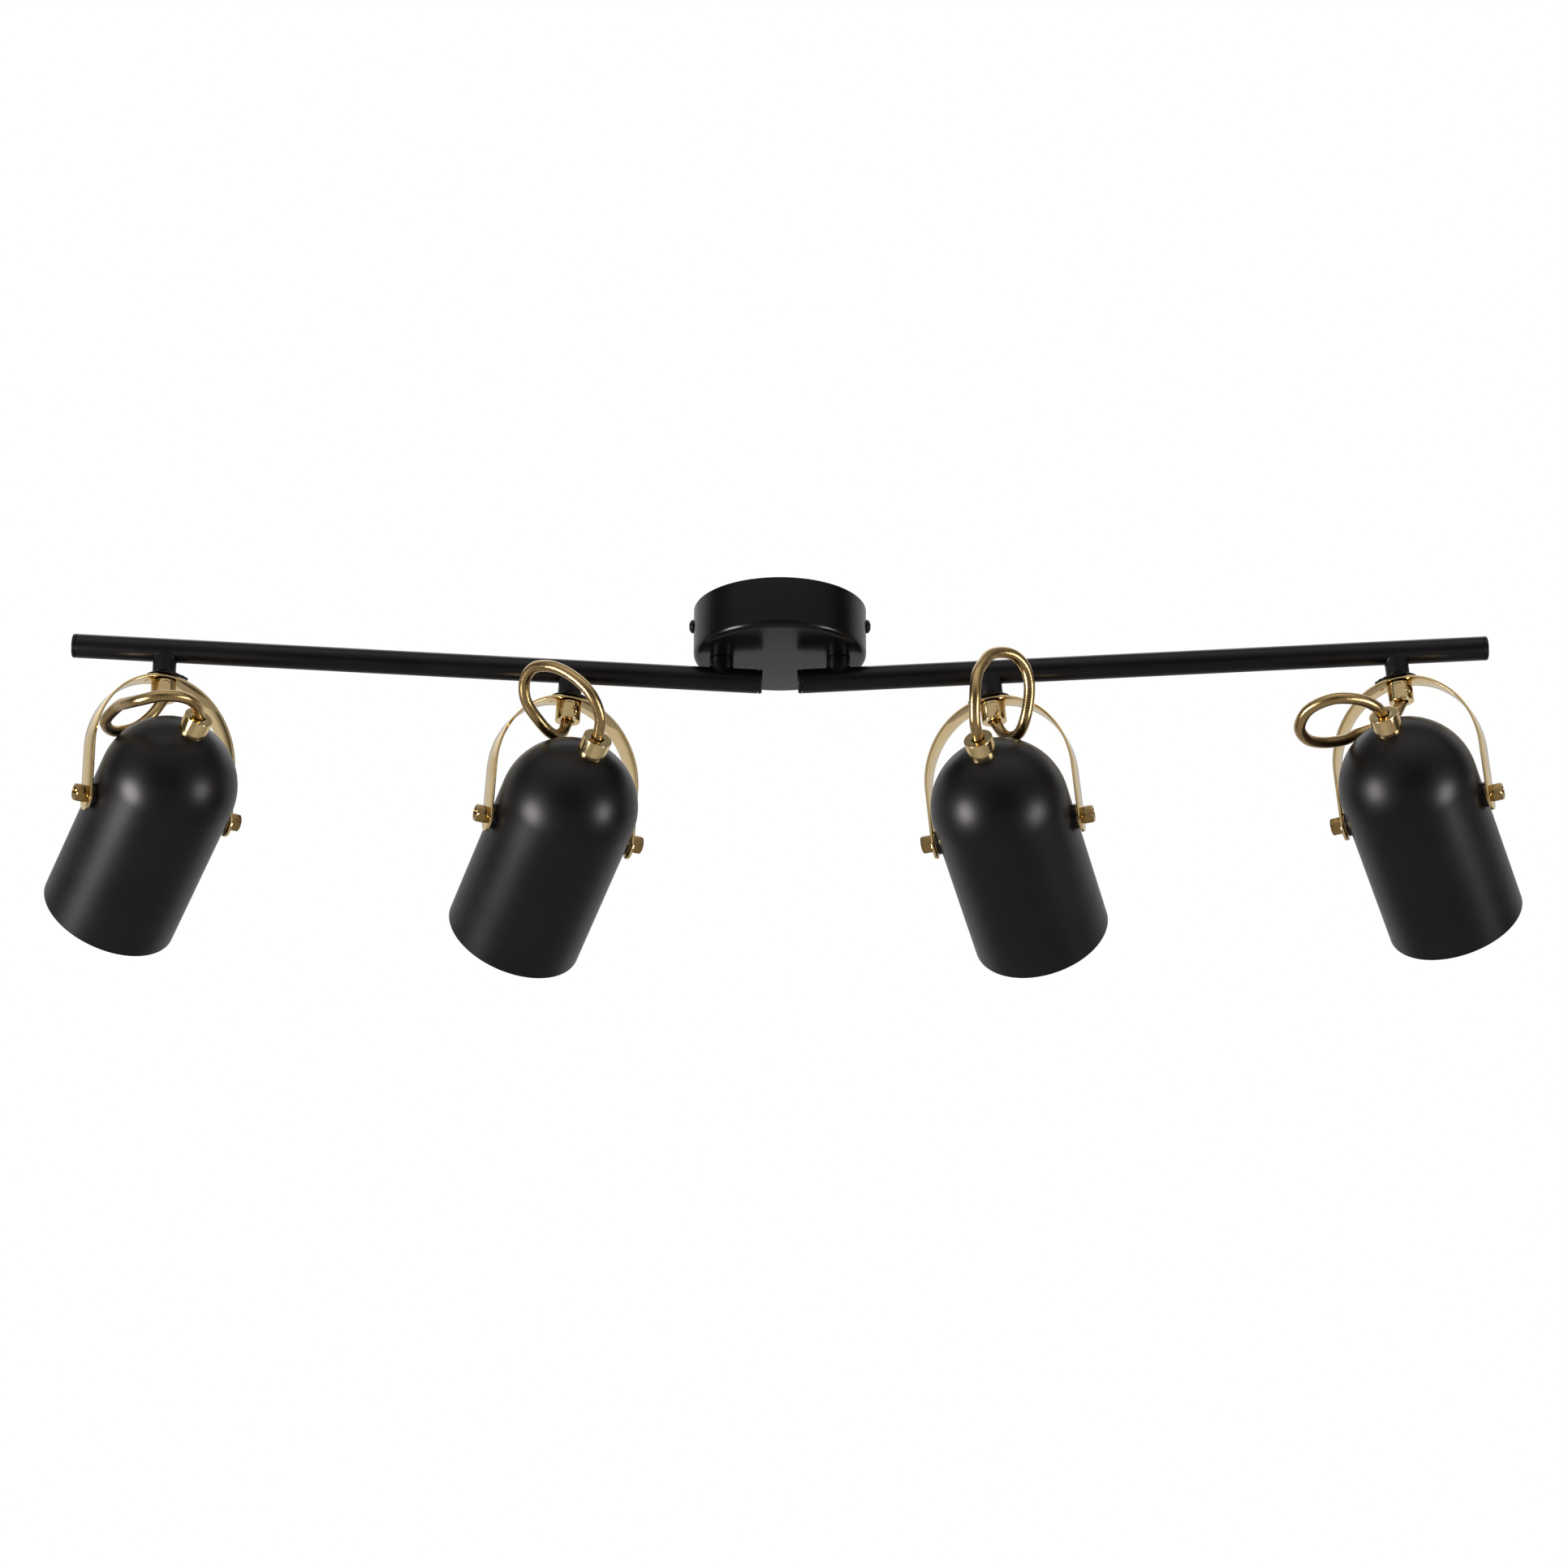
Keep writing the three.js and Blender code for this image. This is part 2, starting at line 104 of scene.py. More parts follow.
# Swivel fittings, down the swivel axis from the tube's centre line
STUB_R = 6.8
STUB_BEAD = 0.25
STUB_BOTTOM = -14.8
NECK_R = 4.5
NECK_BORE_R = 2.5
NECK_BOTTOM = -24.5
WASHER_R = 11
WASHER_TOP = -15.1
WASHER_FLARE_Z = -15.9
WASHER_BOTTOM = -17.4
TAB_LINE = ((8.6, -16.2), (11.6, -16.9, 1.2), (13.0, -18.3, 0.8), (13.35, -18.0))
TAB_W = 4.5
TAB_T = 0.7
TAB_TAPER = 0.3  # share of its width that it loses towards its tip

# Yoke and cable grip
YOKE_TOP = -17.7
YOKE_HALF = 43.7
YOKE_ARCH = 50
YOKE_T = 1.5
YOKE_W = 15
YOKE_END_DROP = 2  # middle of a round end below its pivot
PIVOT_Z = -97.3
PIP_X = -10.5
PIP_R = 1.2
GRIP_R = 7.2
GRIP_TOP = -20.3
GRIP_BOTTOM = -31.2
GRIP_FLAT_Y = -6.6
GRIP_FLAT_HALF = 2.9
GRIP_FLAT_SPAN = (GRIP_BOTTOM + 1.6, GRIP_TOP - 1)
GRIP_TURNS = {1: -13.5, 2: -18, 3: 12.4, 4: 9}  # of the flat from the yoke's front, in degrees
GRIP_SCREW = {"radius": 2.6, "height": 1.3, "shank_r": 1.5, "shank": 2.0}
GRIP_SCREW_Z = GRIP_TOP - 5.2
GRIP_SCREW_TURNS = {1: 180, 2: 38, 3: 180, 4: 52}  # of the screw from the flat

# Armoured cord
CORD_R = 3.3
CORD_BORE_R = 3.9
RIB_PITCH = 0.9
RIB_DEPTH = 0.05
RINGS_PER_RIB = 5
CORD_SIDES = 18

# Head, from the pivot, opening towards -Z
SHADE_R = 39.6
SHADE_WALL = 1.2
DOME_Z = 16.6
RIM_Z = -78.6
BUSHING_R = 8.3
BUSHING_TOP = 66.5
BUSHING_STEM_R = 5
BUSHING_STEM_END = 41
HOLDER_R = 14
HOLDER_NECK_R = 10
HOLDER_SHOULDER = 39
HOLDER_TOP = 44
HOLDER_FRONT = 20
HOLDER_RECESS_R = 10.5
HOLDER_RECESS_DEPTH = 6
PIN_X = 5
PIN_HOLE_R = 2.8
PIN_HOLE_DEPTH = 7
PIN_SLOT_HALF = 1.4
PIN_SLOT_END = 6.5

# Pivots, outwards along the tilt axis from the middle of the head
BOLT_R = 2.7
BOLT_END = 34.5
BOLT_ACROSS_FLATS = 9.6
BOLT_HEAD = (44.0, 50.4)
BOLT_SEAT_R = 4.7
BOLT_CROWN_R = 4.55
BOLT_DISH_R = 3.1
BOLT_DISH_FLOOR_R = 2.6
BOLT_DISH_DEPTH = 1.3
SPACER_R = 7.2
SPACER_SPAN = (SHADE_R - 0.5, 41.2)
PIVOT_WASHER_R = 6.9
PIVOT_WASHER_SPAN = (41.25, 42.1)
INNER_NUT_ACROSS = 8
INNER_NUT_SPAN = (34.9, 37.5)

# The free loop of each cord in its yoke's frame, between its two ends
CORD_LOOPS = {
    1: [(-6.5, 0.5, -42), (-14, 3, -49.5), (-26.5, 1, -55.5), (-34.5, -5, -57),
        (-39.5, -14, -56.5), (-39.5, -32.5, -54.5), (-40, -45.5, -57.5), (-37, -60, -60),
        (-29, -68.5, -59), (-16, -70.5, -58), (-6.5, -65.5, -58.5)],
    2: [(-5, -5.5, -41.5), (-13, -13, -46), (-23.5, -20, -43), (-34, -24, -33.5),
        (-38, -31.5, -25), (-37, -41.5, -21), (-32, -53.5, -23), (-26, -61, -27),
        (-17, -68.5, -35.5), (-10.5, -70, -42.5), (-3, -65, -52)],
    3: [(7, -6, -43.5), (15.5, -14.5, -47), (22.5, -23.5, -41.5), (28, -29, -25),
        (27.5, -34.5, -15), (23, -43, -10), (14, -55.5, -12.5), (9, -65, -22), (6.5, -69.5, -29),
        (4.5, -71.5, -40.5), (1.5, -66, -54)],
    4: [(-6, -3.5, -41), (-15.5, -8.5, -46.5), (-24.5, -15, -50.5), (-31, -28.5, -57.5),
        (-40, -42.5, -61.5), (-45, -56, -62.5), (-44.5, -69.5, -60), (-36, -78.5, -55),
        (-20.5, -80.5, -52.5), (-7, -71, -53), (-1.5, -61.5, -55)],
}


# --- Frames of the moving parts ---------------------------------------------------------------


def axes(origin, x, z):
    """A frame for millimetre drawings from its origin in metres and its X and Z directions."""
    z = Vector(z).normalized()
    x = Vector(x)
    x = (x - x.dot(z) * z).normalized()
    turn = Matrix((x, z.cross(x), z)).transposed().to_4x4()
    return Matrix.Translation(origin) @ turn @ Matrix.Scale(MM, 4)


def facing(place, origin, towards):
    """place moved to a point of its own, with its Z turned to one of its own directions."""
    turn = Vector(towards).to_track_quat("Z", "Y").to_matrix().to_4x4()
    return place @ Matrix.Translation(origin) @ turn


def arm_of(lamp):
    return "left" if lamp < 3 else "right"


def arm_direction(arm):
    """Unit vector along an arm's tube towards its outer end."""
    near, far = (2, 1) if arm == "left" else (3, 4)
    near_at = Vector(JOINTS[f"lamp_{near}_swivel"]["pos_m"])
    far_at = Vector(JOINTS[f"lamp_{far}_swivel"]["pos_m"])
    return (far_at - near_at).normalized()


def fitting_frame(lamp):
    swivel = JOINTS[f"lamp_{lamp}_swivel"]
    return axes(swivel["pos_m"], X, swivel["axis"])


def yoke_frame(lamp):
    swivel = JOINTS[f"lamp_{lamp}_swivel"]
    return axes(swivel["pos_m"], JOINTS[f"lamp_{lamp}_tilt"]["axis"], swivel["axis"])


def head_frame(lamp):
    tilt = JOINTS[f"lamp_{lamp}_tilt"]
    return axes(tilt["pos_m"], tilt["axis"], -Vector(MOUNTS[f"lamp_{lamp}_lamp_seat"]["axis"]))


# --- Camera, light and stage ------------------------------------------------------------------


def camera():
    """Below and in front of the fixture, looking up at it through a long lens."""
    target = Vector((0, 0, -0.1))
    distance = 2.5
    rise = math.radians(21.45)
    forward = Vector((0, math.cos(rise), math.sin(rise)))
    lens = bpy.data.cameras.new("camera")
    lens.lens = 100.2
    lens.sensor_width = 36
    lens.shift_x = 0.0026
    lens.shift_y = -0.0076
    eye = bpy.data.objects.new("camera", lens)
    eye.location = target - distance * forward
    eye.rotation_euler = (math.radians(90) + rise, 0, 0)
    bpy.context.scene.collection.objects.link(eye)
    bpy.context.scene.camera = eye


def softbox(name, place, size, watts):
    lamp = bpy.data.lights.new(name, "AREA")
    lamp.shape = "ELLIPSE"
    lamp.size, lamp.size_y = size
    lamp.energy = watts
    box = bpy.data.objects.new(name, lamp)
    box.location = place
    aim = Vector((0, 0, -0.12)) - Vector(place)
    box.rotation_euler = aim.to_track_quat("-Z", "Y").to_euler()
    bpy.context.scene.collection.objects.link(box)


def node(tree, kind, **settings):
    """A new node, with its inputs given by name and its properties by lower-case name."""
    made = tree.nodes.new(kind)
    for key, value in settings.items():
        name = key.replace("_", " ")
        if name in made.inputs:
            made.inputs[name].default_value = value
        else:
            setattr(made, key, value)
    return made


def toned(tree, way, axis, tones):
    """Grey tones by direction: each (place, tone) goes from 0, against the axis, to 1 along it."""
    along = node(tree, "ShaderNodeVectorMath", operation="DOT_PRODUCT")
    along.inputs[1].default_value = axis
    tree.links.new(way.outputs["Generated"], along.inputs[0])
    share = node(tree, "ShaderNodeMapRange", From_Min=-1.0, From_Max=1.0)
    tree.links.new(along.outputs["Value"], share.inputs["Value"])
    made = node(tree, "ShaderNodeValToRGB")
    tree.links.new(share.outputs["Result"], made.inputs["Fac"])
    ramp = made.color_ramp
    while len(ramp.elements) < len(tones):
        ramp.elements.new(0.5)
    for element, (place, tone) in zip(ramp.elements, tones):
        element.position = place
        element.color = (tone, tone, tone, 1)
    return made.outputs["Color"]


def studio():
    """A white backdrop for the camera, and for reflections a grey room between two softboxes.

    The room is lighter in front, behind and above, and has a dark opening low in front.
    """
    world = bpy.data.worlds.new("studio")
    bpy.context.scene.world = world
    world.use_nodes = True
    tree = world.node_tree
    tree.nodes.clear()
    link = tree.links.new
    out = node(tree, "ShaderNodeOutputWorld")
    way = node(tree, "ShaderNodeTexCoord")
    walls = toned(tree, way, Y, (
        (0.0, 0.50), (0.3, 0.34), (0.47, 0.05), (0.6, 0.08), (0.75, 0.62), (1.0, 0.62),
    ))
    levels = toned(tree, way, Z, ((0.0, 0.25), (0.72, 0.25), (0.95, 0.8)))
    opening = toned(tree, way, (0, -0.93, -0.37), (
        (0.0, 1.0), (0.86, 1.0), (0.94, 0.2), (1.0, 0.15),
    ))
    room_tone = walls
    for tone in (levels, opening):
        product = node(tree, "ShaderNodeVectorMath", operation="MULTIPLY")
        link(room_tone, product.inputs[0])
        link(tone, product.inputs[1])
        room_tone = product.outputs[0]
    seen = node(tree, "ShaderNodeBackground", Color=(1, 1, 1, 1), Strength=1.0)
    room = node(tree, "ShaderNodeBackground", Strength=4.0)
    link(room_tone, room.inputs["Color"])
    ray = node(tree, "ShaderNodeLightPath")
    mix = node(tree, "ShaderNodeMixShader")
    link(ray.outputs["Is Camera Ray"], mix.inputs[0])
    link(room.outputs[0], mix.inputs[1])
    link(seen.outputs[0], mix.inputs[2])
    link(mix.outputs[0], out.inputs["Surface"])
    softbox("softbox_left", (-2.0, -0.9, -0.85), (0.9, 1.1), 62)
    softbox("softbox_right", (2.0, -0.9, -0.85), (0.8, 1.0), 27)
    bpy.context.scene.view_settings.view_transform = "Standard"


def floor():
    """A pale floor with a slight unevenness, a room's height below the ceiling."""
    depth = 3.0
    uneven = 0.002
    bm = bmesh.new()
    bmesh.ops.create_grid(bm, x_segments=24, y_segments=24, size=6)
    for vert in bm.verts:
        vert.co.z = uneven * math.sin(1.7 * vert.co.x) * math.cos(1.3 * vert.co.y)
    mesh = bpy.data.meshes.new("floor")
    bm.to_mesh(mesh)
    bm.free()
    mesh.shade_smooth()
    mesh.materials.append(plain_floor())
    ground = bpy.data.objects.new("floor", mesh)
    ground.location.z = -depth
    bpy.context.scene.collection.objects.link(ground)


# --- Materials --------------------------------------------------------------------------------


class Look:
    """A Principled material with procedural tone, roughness and relief."""

    def __init__(self, name, **surface):
        self.material = bpy.data.materials.new(name)
        self.material.use_nodes = True
        self.tree = self.material.node_tree
        self.shader = self.tree.nodes["Principled BSDF"]
        for key, value in surface.items():
            self.shader.inputs[key.replace("_", " ")].default_value = value
        coordinates = node(self.tree, "ShaderNodeTexCoord")
        self.place = coordinates.outputs["Object"]
        self.spread = coordinates.outputs["UV"]

    def link(self, source, target):
        self.tree.links.new(source, target)

    def noise(self, scale, detail=3.0, where=None, stretch=(1, 1, 1)):
        mapping = node(self.tree, "ShaderNodeMapping", Scale=stretch)
        self.link(where or self.place, mapping.inputs["Vector"])
        made = node(self.tree, "ShaderNodeTexNoise", Scale=scale, Detail=detail)
        self.link(mapping.outputs["Vector"], made.inputs["Vector"])
        return made.outputs["Fac"]

    def span(self, value, low, high, start=0.3, stop=0.7):
        """value between start and stop becomes low to high."""
        made = node(self.tree, "ShaderNodeMapRange", From_Min=start, From_Max=stop,
                    To_Min=low, To_Max=high)
        self.link(value, made.inputs["Value"])
        return made.outputs["Result"]

    def tone(self, value, low, high):
        made = node(self.tree, "ShaderNodeMix", data_type="RGBA")
        self.link(value, made.inputs["Factor"])
        colours = [socket for socket in made.inputs if socket.type == "RGBA"]
        colours[0].default_value = (*low, 1)
        colours[1].default_value = (*high, 1)
        result = [socket for socket in made.outputs if socket.type == "RGBA"][0]
        self.link(result, self.shader.inputs["Base Color"])

    def roughness(self, value, low, high):
        self.link(self.span(value, low, high), self.shader.inputs["Roughness"])

    def relief(self, *layers):
        """Bumps on each other, each a (height, strength, distance in metres)."""
        below = None
        for height, strength, distance in layers:
            bump = node(self.tree, "ShaderNodeBump", Strength=strength, Distance=distance)
            self.link(height, bump.inputs["Height"])
            if below:
                self.link(below, bump.inputs["Normal"])
            below = bump.outputs["Normal"]
        self.link(below, self.shader.inputs["Normal"])


def powder_coat(name, smooth, rough, spun=False):
    """Satin black powder coat with a fine grain. spun metal keeps faint turning lines under it."""
    look = Look(name, Metallic=0.0, Specular_IOR_Level=0.27, Specular_Tint=(1.0, 0.94, 0.95, 1.0))
    clouds = look.noise(30, 4)
    look.tone(look.span(clouds, 0, 1), (0.0020, 0.0017, 0.0018), (0.0036, 0.0031, 0.0032))
    look.roughness(clouds, smooth, rough)
    layers = [(look.noise(1500, 2), 0.10, 0.00006)]
    if spun:
        lines = look.noise(1.6, 4, look.spread, (0.004, 1, 1))
        layers.append((lines, 0.10, 0.00008))
    look.relief(*layers)
    return look.material


def brass(name, low, high):
    """Polished brass with faint lengthwise polishing lines."""
    look = Look(name, Metallic=1.0)
    clouds = look.noise(80, 4)
    look.tone(look.span(clouds, 0, 1), low, high)
    look.roughness(clouds, 0.06, 0.12)
    lines = look.noise(1.2, 3, look.spread, (1, 0.02, 1))
    look.relief((lines, 0.05, 0.00005), (look.noise(220, 2), 0.03, 0.0002))
    return look.material


def armour():
    """Brass strip wound into a spiral, with painted shade darkening it down in its grooves."""
    look = Look("brass_armoured_cord", Metallic=1.0)
    split = node(look.tree, "ShaderNodeSeparateXYZ")
    look.link(look.spread, split.inputs[0])
    phase = node(look.tree, "ShaderNodeMath", operation="SUBTRACT")
    look.link(split.outputs["Y"], phase.inputs[0])
    look.link(split.outputs["X"], phase.inputs[1])
    wave = node(look.tree, "ShaderNodeMath", operation="PINGPONG")
    wave.inputs[1].default_value = 0.5
    look.link(phase.outputs[0], wave.inputs[0])
    # painted shade: dark brass down in the grooves, light brass on the crests of the winding
    painted_groove_shade = look.span(wave.outputs[0], 0, 1, 0.06, 0.34)
    look.tone(painted_groove_shade, (0.22, 0.13, 0.05), (0.60, 0.42, 0.19))
    look.roughness(look.noise(300, 3), 0.16, 0.26)
    look.relief((look.noise(900, 2), 0.04, 0.00005))
    return look.material


def zinc():
    look = Look("zinc_plated_steel", Metallic=1.0)
    clouds = look.noise(60, 5)
    look.tone(look.span(clouds, 0, 1), (0.42, 0.43, 0.45), (0.62, 0.63, 0.66))
    look.roughness(clouds, 0.28, 0.46)
    look.relief((look.noise(500, 3), 0.08, 0.0001))
    return look.material


def ceramic():
    look = Look("white_ceramic", Metallic=0.0)
    clouds = look.noise(90, 4)
    look.tone(look.span(clouds, 0, 1), (0.70, 0.67, 0.60), (0.80, 0.78, 0.72))
    look.roughness(clouds, 0.42, 0.56)
    look.relief((look.noise(1200, 3), 0.12, 0.0001))
    return look.material


def plain_floor():
    look = Look("floor", Metallic=0.0)
    clouds = look.noise(0.8, 4)
    look.tone(clouds, (0.42, 0.41, 0.40), (0.46, 0.45, 0.44))
    look.roughness(clouds, 0.6, 0.75)
    return look.material


# --- Shape tools ------------------------------------------------------------------------------


def rounded(corners, steps=4):
    """An outline of (r, z) or (r, z, cut) corners with each cut corner rounded off."""
    outline = []
    for i, (r, z, *cut) in enumerate(corners):
        corner = Vector((r, z))
        if not cut:
            outline.append(corner)
            continue
        before = (Vector(corners[i - 1][:2]) - corner).normalized() * cut[0]
        after = (Vector(corners[(i + 1) % len(corners)][:2]) - corner).normalized() * cut[0]
        for k in range(steps + 1):
            t = k / steps
            outline.append(corner + before * (1 - t) ** 2 + after * t**2)
    return [tuple(point) for point in outline]


def hexagon(angle, across):
    """Distance from the centre to a hexagon's side, at an angle."""
    turn = (angle + math.pi / 6) % (math.pi / 3) - math.pi / 6
    return across / 2 / math.cos(turn)


def spun(outline, sides=64, closed=False, across=None):
    """An outline of (radius, z) turned about Z, with UVs in mm. across cuts it to a hexagon."""
    bm = bmesh.new()
    uv = bm.loops.layers.uv.new("UVMap")
    girth = 2 * math.pi * max(r for r, _ in outline)
    run = [0.0]
    for (r0, z0), (r1, z1) in zip(outline, outline[1:]):
        run.append(run[-1] + math.hypot(r1 - r0, z1 - z0))
    rings = []
    for r, z in outline:
        ring = []
        for k in range(sides if r > 1e-6 else 1):
            angle = 2 * math.pi * k / sides
            reach = min(r, hexagon(angle, across)) if across else r
            ring.append(bm.verts.new((reach * math.cos(angle), reach * math.sin(angle), z)))
        rings.append(ring)
    pairs = list(zip(range(len(rings)), range(1, len(rings))))
    if closed:
        pairs.append((len(rings) - 1, 0))
    for i, j in pairs:
        for k in range(sides):
            corners = {}
            for row, step in ((i, k), (i, k + 1), (j, k + 1), (j, k)):
                vert = rings[row][step % len(rings[row])]
                corners.setdefault(vert, (step / sides * girth, run[row]))
            if len(corners) < 3:
                continue
            face = bm.faces.new(corners)
            for loop in face.loops:
                loop[uv].uv = corners[loop.vert]
    bmesh.ops.recalc_face_normals(bm, faces=bm.faces)
    return bm


def rod(radius, low, high, sides=48, bevel=0.3):
    """A turned rod along Z with rounded ends."""
    return spun(rounded([(0, low), (radius, low, bevel), (radius, high, bevel), (0, high)]), sides)


def loft(rings, run):
    """Skins rings of points that all have the same count. UVs go round 0 to 1 and along by run."""
    bm = bmesh.new()
    uv = bm.loops.layers.uv.new("UVMap")
    rows = [[bm.verts.new(point) for point in ring] for ring in rings]
    count = len(rows[0])
    for i, (low, high) in enumerate(zip(rows, rows[1:])):
        for k in range(count):
            n = (k + 1) % count
            face = bm.faces.new((low[k], low[n], high[n], high[k]))
            spots = ((k, i), (k + 1, i), (k + 1, i + 1), (k, i + 1))
            for loop, (round_, along) in zip(face.loops, spots):
                loop[uv].uv = (round_ / count, run[along])
    bm.faces.new(rows[0][::-1])
    bm.faces.new(rows[-1])
    bmesh.ops.recalc_face_normals(bm, faces=bm.faces)
    return bm


def ribbon(line, halves, thickness, bevel=0.3):
    """A bent metal strip. line holds (x, z) points of its middle, halves its half width at each."""
    points = [Vector((x, 0, z)) for x, z in line]
    rings = []
    run = [0.0]
    for i, (point, half) in enumerate(zip(points, halves)):
        ahead = points[min(i + 1, len(points) - 1)]
        behind = points[max(i - 1, 0)]
        normal = (ahead - behind).normalized().cross(Y)
        cut = min(bevel, 0.9 * half)
        ring = []
        for quarter, (up, side) in enumerate(((1, 1), (-1, 1), (-1, -1), (1, -1))):
            for k in range(3):
                angle = math.radians(90 * quarter + 45 * k)
                a = up * (thickness / 2 - cut) + cut * math.cos(angle)
                b = side * (half - cut) + cut * math.sin(angle)
                ring.append(point + a * normal + b * Y)
        rings.append(ring)
        if i:
            run.append(run[-1] + (point - points[i - 1]).length)
    return loft(rings, run)


def block(low, high, bevel=0.3):
    """A box with rounded edges."""
    bm = bmesh.new()
    bmesh.ops.create_cube(bm, size=1)
    low, high = Vector(low), Vector(high)
    size = high - low
    bm.transform(Matrix.Translation((low + high) / 2) @ Matrix.Diagonal((*size, 1)))
    if bevel:
        bmesh.ops.bevel(bm, geom=bm.edges[:], offset=bevel, segments=3, affect="EDGES", profile=0.5)
    return bm


def turned_to(bm, origin, towards):
    bm.transform(facing(Matrix.Identity(4), origin, towards))
    return bm


def carved(bm, *cutters):
    """bm with each closed cutter taken out of it."""
    made = []
    for shape in (bm, *cutters):
        mesh = bpy.data.meshes.new("carving")
        shape.to_mesh(mesh)
        shape.free()
        made.append(bpy.data.objects.new("carving", mesh))
        bpy.context.scene.collection.objects.link(made[-1])
    for cutter in made[1:]:
        cut = made[0].modifiers.new("cut", "BOOLEAN")
        cut.object = cutter
        cut.solver = "EXACT"
    result = bmesh.new()
    result.from_object(made[0], bpy.context.evaluated_depsgraph_get())
    for obj in made:
        mesh = obj.data
        bpy.data.objects.remove(obj)
        bpy.data.meshes.remove(mesh)
    return result


def joined(*shapes):
    """Several shapes in one mesh."""
    result = bmesh.new()
    for shape in shapes:
        mesh = bpy.data.meshes.new("part")
        shape.to_mesh(mesh)
        shape.free()
        result.from_mesh(mesh)
        bpy.data.meshes.remove(mesh)
    return result


def put(bm, name, place, look, body, *nodes):
    """Makes a drawn shape a piece that rides on a body and stands for CAD nodes."""
    bm.transform(place)
    mesh = bpy.data.meshes.new(name)
    bm.to_mesh(mesh)
    bm.free()
    mesh.shade_smooth()
    mesh.set_sharp_from_angle(angle=SHARP)
    mesh.materials.append(LOOKS[look])
    piece = bpy.data.objects.new(name, mesh)
    bpy.context.scene.collection.objects.link(piece)
    if nodes:
        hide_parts(*nodes)
    if body:
        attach(piece, body)
    return piece


# --- Cords ------------------------------------------------------------------------------------


def smooth_route(points, per_span=24):
    """Points on the centripetal Catmull-Rom curve through the given ones."""
    ends = [2 * points[0] - points[1], *points, 2 * points[-1] - points[-2]]
    route = []
    for a, b, c, d in zip(ends, ends[1:], ends[2:], ends[3:]):
        ta, tb, tc = ((q - p).length ** 0.5 for p, q in ((a, b), (b, c), (c, d)))
        leave = ((b - a) / ta - (c - a) / (ta + tb) + (c - b) / tb) * tb
        reach = ((c - b) / tb - (d - b) / (tb + tc) + (d - c) / tc) * tb
        bend = 3 * (c - b) - 2 * leave - reach
        twist = 2 * (b - c) + leave + reach
        for k in range(per_span):
            t = k / per_span
            route.append(b + leave * t + bend * t**2 + twist * t**3)
    return [*route, points[-1]]


def even(route, step):
    """The route again, with points a step apart."""
    spaced = [route[0]]
    left = step
    for a, b in zip(route, route[1:]):
        length = (b - a).length
        at = left
        while at <= length:
            spaced.append(a.lerp(b, at / length))
            at += step
        left = at - length
    return [*spaced, route[-1]]


def cord_route(lamp):
    """The cord's centre line in its yoke's frame, from the grip's foot to the head's bushing."""
    to_yoke = yoke_frame(lamp).inverted() @ head_frame(lamp)
    start = Vector((0, 0, GRIP_BOTTOM - SNUG))
    end = to_yoke @ Vector((0, 0, BUSHING_TOP + SNUG))
    return smooth_route([start, *map(Vector, CORD_LOOPS[lamp]), end])


def ribbed_tube(route):
    """The spiral armour round a route: a rib rises once in each pitch, and winds as it goes."""
    tangent = (route[1] - route[0]).normalized()
    across = tangent.orthogonal().normalized()
    rings = []
    for i, point in enumerate(route):
        ahead = route[min(i + 1, len(route) - 1)]
        behind = route[max(i - 1, 0)]
        tangent = (ahead - behind).normalized()
        across = (across - across.dot(tangent) * tangent).normalized()
        third = tangent.cross(across)
        ring = []
        for k in range(CORD_SIDES):
            share = k / CORD_SIDES
            phase = 2 * math.pi * (i / RINGS_PER_RIB - share)
            radius = CORD_R - RIB_DEPTH * (0.5 + 0.5 * math.cos(phase)) ** 2
            angle = 2 * math.pi * share
            ring.append(point + radius * (math.cos(angle) * across + math.sin(angle) * third))
        rings.append(ring)
    return loft(rings, [i / RINGS_PER_RIB for i in range(len(route))])


def armoured_cord(lamp):
    """A cord from grip to bushing, drawn in its yoke's frame and baked in place."""
    place = yoke_frame(lamp)
    route = even(cord_route(lamp), RIB_PITCH / RINGS_PER_RIB)
    cord = put(ribbed_tube(route), f"lamp_{lamp}_armoured_cord", place, "brass_armoured_cord",
               None, f"lamp_{lamp}_cord")
    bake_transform(cord)


# --- Screws and nuts --------------------------------------------------------------------------


def cross_screw(radius, height, shank_r, shank):
    """A pan-head screw standing on z 0, with a cross slot and a shank below."""
    head = spun(rounded([
        (0, -shank), (shank_r, -shank, 0.3), (shank_r, 0), (radius, 0, 0.15),
        (radius, 0.45 * height, 0.3 * height), (0.5 * radius, height, 0.25 * radius), (0, height),
    ]), 40)
    slot = 0.14 * radius
    reach = 0.62 * radius
    deep = 0.45 * height
    return carved(
        head,
        block((-reach, -slot, deep), (reach, slot, height + 1), 0),
        block((-slot, -reach, deep), (slot, reach, height + 1), 0),
    )


def past_corner(across):
    """A radius just outside a hexagon's corners, from the distance across its flats."""
    return across / math.sqrt(3) + 0.1


def hex_nut(across, bore, low, high):
    corner = past_corner(across)
    chamfer = 0.6
    face = 0.9 * across / math.sqrt(3)
    return spun(rounded([
        (bore, low, 0.2), (face, low), (corner, low + chamfer),
        (corner, high - chamfer), (face, high), (bore, high, 0.2),
    ]), 72, closed=True, across=across)


# --- Canopy -----------------------------------------------------------------------------------


